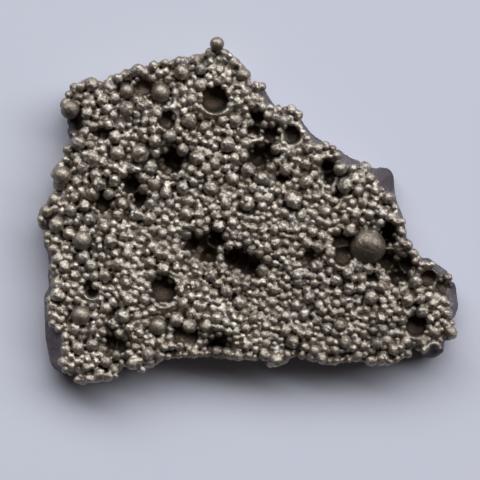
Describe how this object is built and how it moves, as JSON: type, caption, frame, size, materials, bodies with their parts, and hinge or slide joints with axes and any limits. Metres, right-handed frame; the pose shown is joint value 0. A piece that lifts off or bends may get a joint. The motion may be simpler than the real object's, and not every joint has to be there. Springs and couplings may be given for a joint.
{
  "type": "cobalt sample",
  "caption": "Broken plate of electrolytic cobalt with a crust of rounded metal nodules, small pits and craters on top, bare broken edges and a flat back.",
  "frame": {"origin": "middle of the outer box, on the plane of the flat back that the chip rests on", "axes": "+X along the chip's longest side, +Y towards the edge with the single ball on a neck, +Z out of the nodular side"},
  "size_m": [0.0302, 0.0249, 0.004],
  "materials": {
    "cobalt": "satin nodular metal with a warm grey tone, bright on the nodules, dark in the pits, dull on the broken edges and the back"
  },
  "bodies": {
    "root": {"cobalt_chip": "cobalt"}
  },
  "joints": []
}
